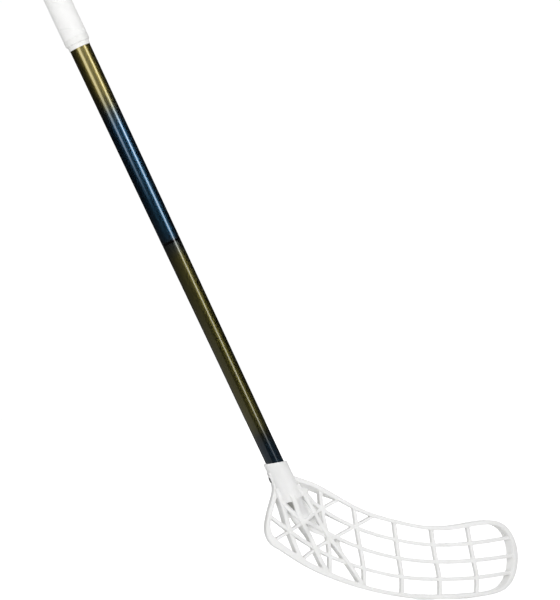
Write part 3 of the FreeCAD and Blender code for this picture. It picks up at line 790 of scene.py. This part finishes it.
def grain_group():
    """Fine moulding grain over soft unevenness: two noises in the piece's own coordinates."""
    group, given, result = new_group("moulding_grain", {"Grain Scale": 1400, "Patch Scale": 60},
                                     ["Height", "Patches"])
    place = node(group, "ShaderNodeTexCoord")
    grain = node(group, "ShaderNodeTexNoise", Detail=3, Roughness=0.6)
    patches = node(group, "ShaderNodeTexNoise", Detail=4, Roughness=0.55)
    for noise, scale in ((grain, "Grain Scale"), (patches, "Patch Scale")):
        group.links.new(place.outputs["Object"], noise.inputs["Vector"])
        group.links.new(given.outputs[scale], noise.inputs["Scale"])
    group.links.new(grain.outputs["Fac"], result.inputs["Height"])
    group.links.new(patches.outputs["Fac"], result.inputs["Patches"])
    return group


def new_material(name, **settings):
    """A material with one principled shader, whose constant sockets are set by name."""
    material = bpy.data.materials.new(name)
    material.use_nodes = True
    tree = material.node_tree
    shader = tree.nodes["Principled BSDF"]
    for label, value in settings.items():
        shader.inputs[label.replace("_", " ")].default_value = value
    return material, tree, shader


def reckon(tree, operation, *values):
    """The result of a math node on values, each a number or another node's output."""
    made = node(tree, "ShaderNodeMath", operation=operation)
    for socket, value in zip(made.inputs, values):
        if isinstance(value, bpy.types.NodeSocket):
            tree.links.new(value, socket)
        else:
            socket.default_value = value
    return made.outputs[0]


def carried(tree, value, before, after):
    """A number carried evenly from one range to another, and held at its ends."""
    made = node(tree, "ShaderNodeMapRange", From_Min=before[0], From_Max=before[1],
                To_Min=after[0], To_Max=after[1])
    tree.links.new(value, made.inputs["Value"])
    return made.outputs["Result"]


def colour_run(tree, value, stops):
    """A colour that runs with a value through stops, each a place between 0 and 1 and a colour."""
    made = node(tree, "ShaderNodeValToRGB")
    elements = made.color_ramp.elements
    while len(elements) < len(stops):
        elements.new(0.5)
    for element, (place, colour) in zip(elements, stops):
        element.position = place
        element.color = (*colour, 1)
    tree.links.new(value, made.inputs["Fac"])
    return made.outputs["Color"]


# Values of the patches' noise between which a finish runs from dark to light, and the grain's depth
PATCH_LIMITS = (0.3, 0.7)
RELIEF_DEPTH = 0.0001


def grained_material(name, grain, dark, light, roughness, scales, relief=0, **settings):
    """A finish whose colour and roughness vary in soft patches, over a fine grain in relief.

    The scales are those of the grain and of the patches.
    """
    material, tree, shader = new_material(name, **settings)
    effect = node(tree, "ShaderNodeGroup", node_tree=grain, Grain_Scale=scales[0], Patch_Scale=scales[1])
    patches = effect.outputs["Patches"]
    colour = colour_run(tree, patches, list(zip(PATCH_LIMITS, (dark, light))))
    tree.links.new(colour, shader.inputs["Base Color"])
    tree.links.new(carried(tree, patches, PATCH_LIMITS, roughness), shader.inputs["Roughness"])
    if relief:
        bump = node(tree, "ShaderNodeBump", Strength=relief, Distance=RELIEF_DEPTH)
        tree.links.new(effect.outputs["Height"], bump.inputs["Height"])
        tree.links.new(bump.outputs["Normal"], shader.inputs["Normal"])
    return material


# Lacquer colours down the shaft: drop of each stop below the tape, and its colour
LACQUER_STOPS = [
    (0.05, (0.25, 0.206, 0.058)),
    (0.068, (0.17, 0.155, 0.07)),
    (0.08, (0.075, 0.1, 0.105)),
    (0.098, (0.029, 0.086, 0.155)),
    (0.222, (0.024, 0.08, 0.142)),
    (0.231, (0.025, 0.07, 0.12)),
    (0.2345, (0.035, 0.055, 0.075)),
    (0.2385, (0.058, 0.068, 0.062)),
    (0.247, (0.082, 0.084, 0.055)),
    (0.256, (0.128, 0.113, 0.032)),
    (0.3, (0.13, 0.115, 0.027)),
    (0.44, (0.115, 0.103, 0.026)),
    (0.4605, (0.09, 0.084, 0.028)),
    (0.4715, (0.03, 0.032, 0.024)),
    (0.4825, (0.016, 0.03, 0.042)),
    (0.49, (0.014, 0.026, 0.04)),
    (0.53, (0.014, 0.03, 0.048)),
    (0.535, (0.42, 0.42, 0.4))]

# Dark ring: its drop, half its width, and the fade of its edges
RING_DROP = 0.2363
RING_HALF = 0.0011
RING_FADE = 0.0005

# Flake: its scale and what it does to the colour and roughness; roughness at two drops below the tape
FLAKE_SCALE = 5200.0
FLAKE_GLINT = (0.97, 1.03)
FLAKE_ROUGHNESS = (0.98, 1.02)
GLOSS_DROPS = (0.26, 0.22)
GLOSS_ROUGHNESS = (0.43, 0.345)


def lacquer_material():
    """Metallic lacquer under a clear coat: the colour runs down the shaft, with a fine flake in it.

    The height along the shaft is the place's component along its axis. One plain dark ring is lined in.
    """
    material, tree, shader = new_material("shaft_lacquer_finish", Metallic=1.0, Coat_Weight=1.0,
                                          Coat_Roughness=0.04, Coat_IOR=1.6)
    place = node(tree, "ShaderNodeTexCoord").outputs["Object"]
    along = node(tree, "ShaderNodeVectorMath", operation="DOT_PRODUCT")
    along.inputs[1].default_value = UP
    tree.links.new(place, along.inputs[0])
    height = along.outputs["Value"]
    flake = node(tree, "ShaderNodeTexVoronoi", Scale=FLAKE_SCALE)
    tree.links.new(place, flake.inputs["Vector"])

    low, high = SHAFT_FOOT, TAPE_FOOT
    stops = [((TAPE_FOOT - drop - low) / (high - low), colour) for drop, colour in LACQUER_STOPS]
    share = carried(tree, height, (low, high), (0, 1))
    away = reckon(tree, "ABSOLUTE", reckon(tree, "SUBTRACT", height, TAPE_FOOT - RING_DROP))
    lined = carried(tree, away, (RING_HALF, RING_HALF + RING_FADE), (0, 1))
    glint = carried(tree, flake.outputs["Color"], (0, 1), FLAKE_GLINT)
    colour = node(tree, "ShaderNodeVectorMath", operation="SCALE")
    tree.links.new(colour_run(tree, share, stops[::-1]), colour.inputs[0])
    tree.links.new(reckon(tree, "MULTIPLY", glint, lined), colour.inputs["Scale"])
    tree.links.new(colour.outputs["Vector"], shader.inputs["Base Color"])

    gloss = carried(tree, height, [TAPE_FOOT - drop for drop in GLOSS_DROPS], GLOSS_ROUGHNESS)
    uneven = carried(tree, flake.outputs["Distance"], (0, 1), FLAKE_ROUGHNESS)
    tree.links.new(reckon(tree, "MULTIPLY", gloss, uneven), shader.inputs["Roughness"])
    return material


# Camera in front of the stick, level with it, far enough to show it nearly without perspective
CAMERA_PLACE = (0.28348, -4.0, -0.41255)
VIEW_HEIGHT = 0.66
SENSOR = 36


def set_camera():
    """A long lens that takes in the view's height at the plane of the shaft."""
    data = bpy.data.cameras.new("front_camera")
    data.sensor_fit = "VERTICAL"
    data.sensor_height = SENSOR
    data.lens = SENSOR * -CAMERA_PLACE[1] / VIEW_HEIGHT
    camera = bpy.data.objects.new("front_camera", data)
    camera.location = CAMERA_PLACE
    camera.rotation_euler = (np.pi / 2, 0, 0)
    bpy.context.scene.collection.objects.link(camera)
    bpy.context.scene.camera = camera


# Studio white, and the soft boxes: name, place and power of each, what they face, their width and height
WHITE = (1, 1, 1, 1)
LAMPS = [("key_box", (0.5, -2.6, 0.2), 27), ("rear_box", (-0.5, 2.5, 0.5), 11)]
LAMP_TARGET = (0.25, 0, -0.4)
LAMP_SIZE = (1.0, 0.8)


def add_lamp(name, place, power):
    """A rectangular soft box that faces the target, lights without gloss and doesn't show."""
    data = bpy.data.lights.new(name, "AREA")
    data.shape = "RECTANGLE"
    data.size, data.size_y = LAMP_SIZE
    data.energy = power
    lamp = bpy.data.objects.new(name, data)
    lamp.location = place
    lamp.rotation_euler = (Vector(place) - Vector(LAMP_TARGET)).to_track_quat("Z", "Y").to_euler()
    lamp.visible_glossy = False
    lamp.visible_camera = False
    bpy.context.scene.collection.objects.link(lamp)


# Glow of the tent round the shaft at drops below the tape, with angles in degrees from the front towards
# the toe: two strips with their middles and half widths, a front, a low sheet and a strip at the rear
GLOW_DROPS = np.array([-0.14, 0.02, 0.047, 0.068, 0.085, 0.1, 0.143, 0.176, 0.196, 0.259, 0.308, 0.363,
                       0.424, 0.462, 0.49, 0.54])
LEFT_GLOW = np.array([3.3, 3.3, 2.65, 2.55, 2.8, 2.7, 0.95, 0, 0, 0, 0, 0, 0, 0, 0, 0])
LEFT_ANGLE = np.array([-16, -16, -17, -19, -20, -21, -20, -20, -20, -20, -20, -20, -20, -20, -20, -20])
LEFT_SPREAD = np.array([13, 13, 12, 10, 9, 9, 8, 8, 8, 8, 8, 8, 8, 8, 8, 8])
RIGHT_GLOW = np.array([5.0, 5.0, 4.8, 5.7, 8.6, 8.4, 5.8, 5.7, 5.8, 5.5, 5.4, 4.8, 5.2, 4.8, 1.4, 0.7])
RIGHT_ANGLE = np.array([56, 56, 53, 50, 50, 50, 49, 48, 47, 43, 42, 40, 39, 38, 38, 38])
RIGHT_SPREAD = np.array([8, 8, 8, 8, 8, 7.5, 8.5, 9, 9, 6.5, 7, 7, 7, 6.5, 7, 7])
FRONT_GLOW = np.array([0.5, 0.4, 0.1, 0, 0, 0, 0, 0, 0, 0.05, 0.05, 0, 0, 0, 0, 0])
LOW_GLOW = np.array([0, 0, 0, 0, 0, 0, 0, 0, 0.02, 0.05, 0.1, 0.22, 0.26, 0.34, 0.34, 0.3])
FRONT_EDGES = (-20, 40)
LOW_EDGES = (-125, -25)
REAR_GLOW = 1
REAR_SPREAD = 8
GLOW_FADE = 4
TENT_RADIUS = 0.34
TENT_STEPS = (137, 241)


def strip_glow(angle, middle, spread):
    """One inside a strip and nothing outside, with an even fade across each edge; angles wrap."""
    away = np.abs((angle - middle + 180) % 360 - 180)
    return np.clip((spread - away) / GLOW_FADE + 0.5, 0, 1)


def add_tent():
    """A black tube round the shaft's line with painted strips of light, seen only in gloss.

    The glow at an angle and a drop is the brightest of a left and a right strip, a dim front, a low
    sheet to the left and a strip at the rear, each as bright as its table says at that drop.
    """
    drop = np.linspace(GLOW_DROPS[0], GLOW_DROPS[-1], TENT_STEPS[0])[:, None]
    angle = np.linspace(-180, 180, TENT_STEPS[1])[None, :]

    def at(values):
        """A table's value at each drop."""
        return np.interp(drop, GLOW_DROPS, values)

    glow = at(LEFT_GLOW) * strip_glow(angle, at(LEFT_ANGLE), at(LEFT_SPREAD))
    glow = np.maximum(glow, at(RIGHT_GLOW) * strip_glow(angle, at(RIGHT_ANGLE), at(RIGHT_SPREAD)))
    for edges, values in ((FRONT_EDGES, FRONT_GLOW), (LOW_EDGES, LOW_GLOW)):
        sheet = strip_glow(angle, np.mean(edges), np.ptp(edges) / 2)
        glow = np.maximum(glow, at(values) * sheet)
    glow = np.maximum(glow, REAR_GLOW * strip_glow(angle, 180, REAR_SPREAD))
    points = on_shaft(TENT_RADIUS, np.radians(angle - 90), TAPE_FOOT - drop)
    mesh = bpy.data.meshes.new("light_tent")
    faces = grid_faces(*glow.shape, wrap_columns=False)
    mesh.from_pydata(points.reshape(-1, 3).tolist(), [], faces.tolist())
    mesh.attributes.new("glow", "FLOAT", "POINT").data.foreach_set("value", glow.ravel())
    material, tree, shader = new_material("light_tent_paint", Roughness=1.0, Emission_Color=WHITE,
                                          Base_Color=(0.01, 0.01, 0.01, 1))
    painted = node(tree, "ShaderNodeAttribute", attribute_name="glow")
    tree.links.new(painted.outputs["Fac"], shader.inputs["Emission Strength"])
    mesh.materials.append(material)
    tent = bpy.data.objects.new("light_tent", mesh)
    bpy.context.scene.collection.objects.link(tent)
    tent.visible_camera = False
    tent.visible_diffuse = False
    tent.visible_shadow = False
    tent.visible_transmission = False
    return tent


# Light of the surroundings on the object and as they show, and the floor's half width and lift to white
FILL_LIGHT = 0.62
BACKDROP_LIGHT = 1.02
FLOOR_HALF = 6.0
FLOOR_LIFT = 0.65


def set_studio():
    """White surroundings, a white floor that keeps the shadow, soft boxes, and a tent round the shaft."""
    scene = bpy.context.scene
    scene.view_settings.view_transform = "Standard"
    world = bpy.data.worlds.new("studio")
    scene.world = world
    world.use_nodes = True
    tree = world.node_tree
    backdrop = tree.nodes["Background"]
    backdrop.inputs["Color"].default_value = WHITE
    rays = node(tree, "ShaderNodeLightPath").outputs
    seen = reckon(tree, "MAXIMUM", rays["Is Camera Ray"], rays["Is Glossy Ray"])
    shown = reckon(tree, "MAXIMUM", seen, rays["Is Transmission Ray"])
    strength = carried(tree, shown, (0, 1), (FILL_LIGHT, BACKDROP_LIGHT))
    tree.links.new(strength, backdrop.inputs["Strength"])

    x, y = np.meshgrid([-FLOOR_HALF, FLOOR_HALF], [-FLOOR_HALF, FLOOR_HALF], indexing="ij")
    corners = np.stack([x.ravel(), y.ravel(), 0 * x.ravel() + cad_box[0][2]], axis=1)
    floor = new_piece("floor", (corners, [np.array([[0, 2, 3, 1]])]))
    material, tree, shader = new_material("floor_paper", Roughness=0.9, Emission_Color=WHITE,
                                          Base_Color=(0.9, 0.9, 0.9, 1))
    rays = node(tree, "ShaderNodeLightPath").outputs
    lift = reckon(tree, "MULTIPLY", rays["Is Camera Ray"], FLOOR_LIFT)
    tree.links.new(lift, shader.inputs["Emission Strength"])
    floor.data.materials.append(material)

    add_tent()
    for name, place, power in LAMPS:
        add_lamp(name, place, power)


grain = grain_group()
blade_finish = grained_material(
    "blade_plastic_finish", grain, dark=(0.84, 0.84, 0.83), light=(0.88, 0.88, 0.875),
    roughness=(0.36, 0.46), scales=(1600, 90), relief=0.06,
    Subsurface_Weight=0.5, Subsurface_Radius=(1, 1, 0.96), Subsurface_Scale=0.004)
band_finish = grained_material(
    "grip_band_finish", grain, dark=(0.87, 0.87, 0.86), light=(0.91, 0.91, 0.9),
    roughness=(0.62, 0.75), scales=(2600, 120), relief=0.14)
tape_finish = grained_material(
    "tape_finish", grain, dark=(0.84, 0.84, 0.825), light=(0.88, 0.88, 0.865),
    roughness=(0.42, 0.55), scales=(1800, 160), relief=0.06)
cap_finish = grained_material(
    "cap_rubber_finish", grain, dark=(0.8, 0.8, 0.79), light=(0.85, 0.85, 0.84),
    roughness=(0.55, 0.7), scales=(2000, 140), relief=0.12)
screw_finish = grained_material(
    "screw_steel_finish", grain, dark=(0.012, 0.012, 0.013), light=(0.05, 0.05, 0.052),
    roughness=(0.5, 0.34), scales=(3000, 700), Metallic=1.0)

dress(make_blade(), "blade", blade_finish)
dress(make_shaft(), "shaft_tube", lacquer_material())
dress(make_grip(), "grip_wrap", band_finish)
dress(make_tape(), "finishing_tape", tape_finish)
dress(make_cap(), "butt_cap", cap_finish)
screw = frame["nodes"]["blade_screw"]
screw.data.materials.clear()
screw.data.materials.append(screw_finish)
set_camera()
set_studio()
